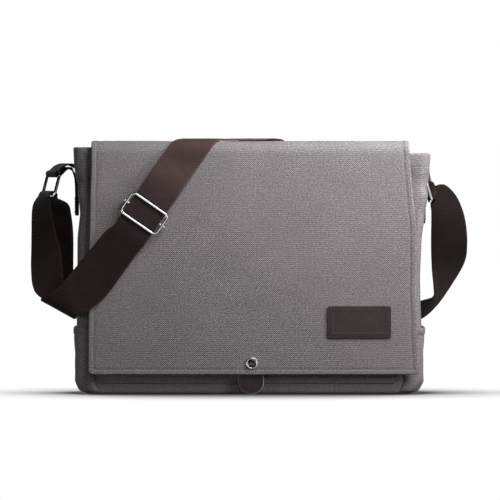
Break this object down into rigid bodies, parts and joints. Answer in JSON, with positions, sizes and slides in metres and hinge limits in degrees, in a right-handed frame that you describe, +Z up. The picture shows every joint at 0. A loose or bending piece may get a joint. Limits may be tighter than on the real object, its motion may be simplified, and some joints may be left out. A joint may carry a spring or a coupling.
{
  "type": "messenger bag",
  "caption": "Canvas messenger bag with a full-front flap, snap fastening, boxed body, side pockets and a webbing shoulder strap with a slide buckle, draped round the bag.",
  "frame": {"origin": "centre of the flat base, on the surface that the bag stands on", "axes": "+X along the bag's width, to the right as seen from the front; the front flap faces -Y; +Z up"},
  "size_m": [0.456, 0.1592, 0.2666],
  "materials": {
    "canvas": "washed heavy cotton canvas, warm grey with a salt and pepper fleck",
    "lining_cloth": "plain woven polyester lining, dark grey",
    "webbing": "ribbed cotton webbing, dark brown",
    "leather": "dark brown leather, fine grain, matt",
    "board": "polyethylene stiffener sheet",
    "chrome": "polished plated steel"
  },
  "bodies": {
    "root": {"front_panel": "canvas", "back_panel": "canvas", "bottom_panel": "canvas", "gusset_left": "canvas", "gusset_right": "canvas", "side_pocket_left": "canvas", "side_pocket_right": "canvas", "front_pocket": "canvas", "lining": "lining_cloth", "laptop_divider": "lining_cloth", "bottom_board": "board", "snap_stud": "chrome", "ring_tab_left": "webbing", "ring_tab_right": "webbing", "strap_left_outer": "webbing", "strap_left_inner": "webbing", "strap_right_loop": "webbing", "strap_rear_run": "webbing"},
    "flap": {"flap_panel": "canvas", "flap_lining": "lining_cloth", "leather_patch": "leather", "leather_pull_tab": "leather", "snap_cap": "chrome", "snap_socket": "chrome", "strap_front_run": "webbing", "strap_return_strand": "webbing"},
    "buckle": {"slide_buckle_frame": "chrome", "slide_buckle_bar": "chrome", "strap_buckle_fold": "webbing"},
    "ring_left": {"ring_left": "chrome", "strap_left_fold": "webbing"},
    "ring_right": {"ring_right": "chrome", "strap_right_fold": "webbing"}
  },
  "joints": [
    {"name": "flap_hinge", "type": "hinge", "parent": "root", "child": "flap", "pos_m": [0, 0.049, 0.26], "axis": [-1, 0, 0], "range_deg": [0, 105]},
    {"name": "buckle_slide", "type": "slide", "parent": "flap", "child": "buckle", "axis": [0.5693, 0, 0.8221], "range_m": [-0.008, 0.02]},
    {"name": "ring_left_swing", "type": "hinge", "parent": "root", "child": "ring_left", "pos_m": [-0.205, 0, 0.2295], "axis": [0.3102, -0.9507, 0], "range_deg": [-20, 20]},
    {"name": "ring_right_swing", "type": "hinge", "parent": "root", "child": "ring_right", "pos_m": [0.1849, -0.0075, 0.229], "axis": [0, -0.9207, -0.3903], "range_deg": [-6, 20]}
  ]
}
